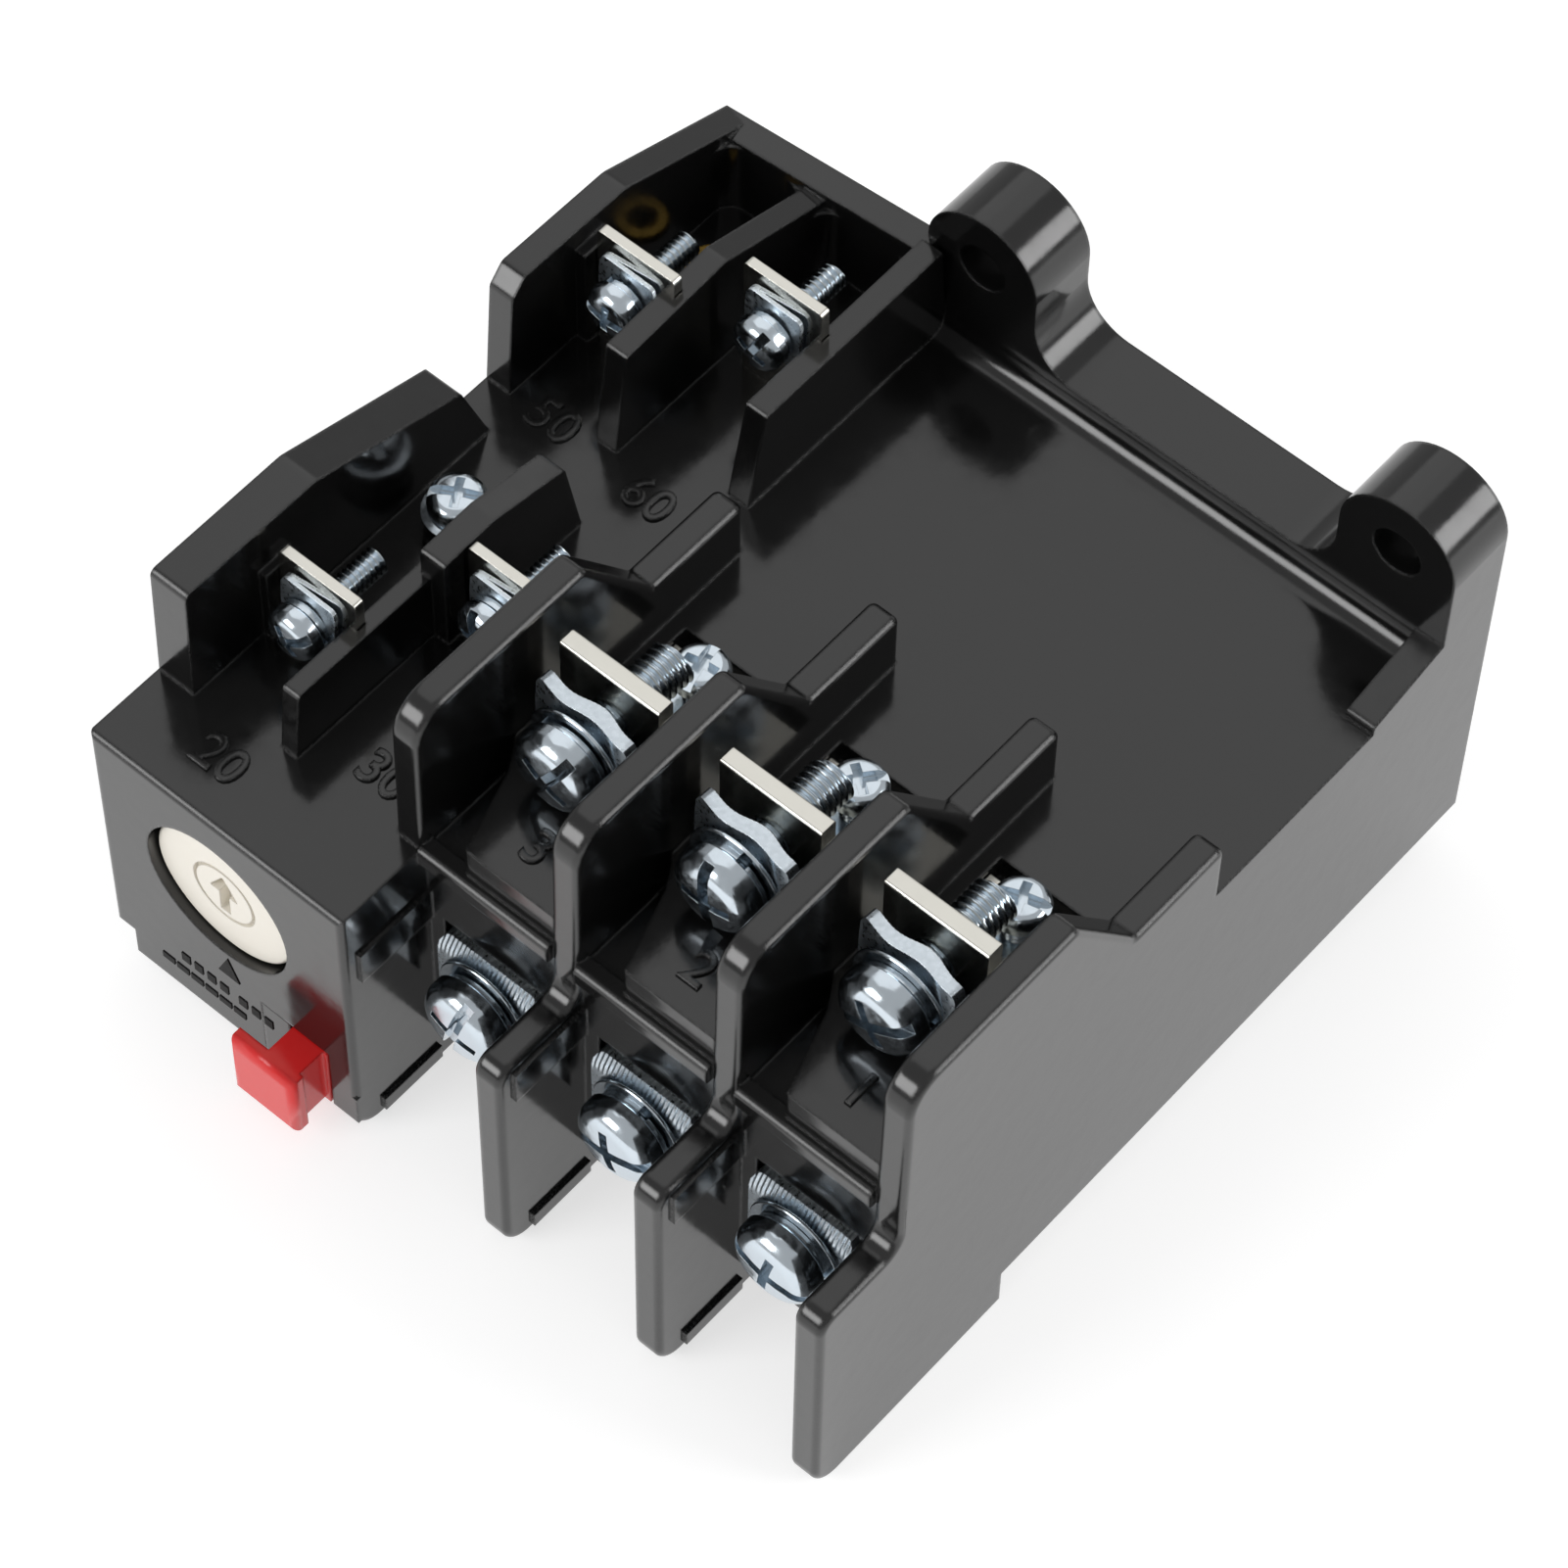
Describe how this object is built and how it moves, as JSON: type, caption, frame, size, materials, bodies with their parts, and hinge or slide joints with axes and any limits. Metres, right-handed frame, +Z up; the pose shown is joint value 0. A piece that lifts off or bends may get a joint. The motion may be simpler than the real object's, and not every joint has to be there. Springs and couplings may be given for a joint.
{
  "type": "thermal overload protector",
  "caption": "Moulded three-pole thermal overload relay: barriered screw terminals, setting dial, reset button, eared back wall; heated strips trip its contacts.",
  "frame": {"origin": "On the underside of the base cover, at the middle of the body's width and of its depth from the barriers' front to the mounting face.", "axes": "+X runs across the poles towards the right as seen from the terminals; +Y runs from the terminals back to the mounting wall; +Z runs up from the base cover to the deck and screws."},
  "size_m": [0.09, 0.102, 0.0583],
  "materials": {
    "phenolic": "glossy black moulded phenolic",
    "cover_phenolic": "black moulded phenolic, satin",
    "zinc_steel": "steel with blue-white zinc plating",
    "nickel_plate": "nickel-plated copper alloy terminal plate",
    "bimetal_strip": "rolled bimetal strip",
    "heater_ribbon": "wound resistance ribbon, heat-darkened",
    "holder_steel": "plated steel bracket",
    "brass": "plain brass",
    "contact_silver": "silver contact rivet",
    "slider_plastic": "cream insulating moulding",
    "dial_plastic": "cream moulded dial",
    "button_plastic": "glossy red moulding",
    "spring_steel": "spring steel wire and strip"
  },
  "bodies": {
    "base": {"housing": "phenolic", "base_cover": "cover_phenolic", "cover_screws": "zinc_steel", "main_screws": "zinc_steel", "main_lock_washers": "zinc_steel", "main_clamps": "zinc_steel", "element_screws": "zinc_steel", "element_washers": "zinc_steel", "aux_screws": "zinc_steel", "aux_lock_washers": "zinc_steel", "aux_clamps": "nickel_plate", "mode_screw": "zinc_steel", "mode_washer": "zinc_steel", "aux_terminal_95": "nickel_plate", "aux_terminal_96": "nickel_plate", "aux_terminal_97": "nickel_plate", "aux_terminal_98": "nickel_plate", "link_rivet": "brass", "eyelet": "brass", "nc_contact": "contact_silver", "no_contact": "contact_silver", "strip_rivets": "brass", "compensator_pin": "holder_steel", "setting_pin": "holder_steel", "reset_spring": "spring_steel", "upper_terminal_1": "nickel_plate", "lower_terminal_1": "nickel_plate", "bimetal_1": "bimetal_strip", "heater_1": "heater_ribbon", "strip_holder_1": "holder_steel", "upper_terminal_2": "nickel_plate", "lower_terminal_2": "nickel_plate", "bimetal_2": "bimetal_strip", "heater_2": "heater_ribbon", "strip_holder_2": "holder_steel", "upper_terminal_3": "nickel_plate", "lower_terminal_3": "nickel_plate", "bimetal_3": "bimetal_strip", "heater_3": "heater_ribbon", "strip_holder_3": "holder_steel"},
    "dial_body": {"dial": "dial_plastic", "setting_cam": "slider_plastic", "dial_clip": "spring_steel"},
    "setting_lever_body": {"setting_lever": "holder_steel"},
    "slider_body": {"trip_slider": "slider_plastic"},
    "compensator_body": {"compensator_lever": "bimetal_strip"},
    "push_rod_body": {"push_rod": "slider_plastic"},
    "leaf_body": {"contact_leaf": "spring_steel", "moving_contact": "contact_silver"},
    "reset_body": {"reset_button": "button_plastic"}
  },
  "joints": [
    {"name": "dial_turn", "type": "hinge", "parent": "base", "child": "dial_body", "pos_m": [-0.0297, -0.0475, 0.0247], "axis": [0, -1, 0], "range_deg": [-130, 130]},
    {"name": "setting_swing", "type": "hinge", "parent": "base", "child": "setting_lever_body", "pos_m": [-0.038, 0.0015, 0.0247], "axis": [0, 0, 1], "range_deg": [-1.6, 1.6]},
    {"name": "slider_slide", "type": "slide", "parent": "base", "child": "slider_body", "axis": [-1, 0, 0], "range_m": [0, 0.0025]},
    {"name": "compensator_swing", "type": "hinge", "parent": "base", "child": "compensator_body", "pos_m": [-0.0348, 0.0095, 0.01], "axis": [0, 0, 1], "range_deg": [0, 6.4]},
    {"name": "push_rod_slide", "type": "slide", "parent": "base", "child": "push_rod_body", "axis": [1, 0, 0], "range_m": [0, 0.00195]},
    {"name": "leaf_swing", "type": "hinge", "parent": "base", "child": "leaf_body", "pos_m": [-0.026, 0.0165, 0.015], "axis": [0, 0, 1], "range_deg": [0, 4.6]},
    {"name": "reset_press", "type": "slide", "parent": "base", "child": "reset_body", "axis": [0, 1, 0], "range_m": [0, 0.003], "stiffness_N_per_m": 600, "springref_m": -0.003, "deforming": ["reset_spring"]}
  ],
  "couplings": [
    {"joint": "setting_swing", "follows": "dial_turn", "ratio": -0.011519},
    {"joint": "compensator_swing", "follows": "slider_slide", "rad_per_m": 43.478},
    {"joint": "push_rod_slide", "follows": "slider_slide", "ratio": 0.75652},
    {"joint": "leaf_swing", "follows": "slider_slide", "rad_per_m": 31.005}
  ]
}
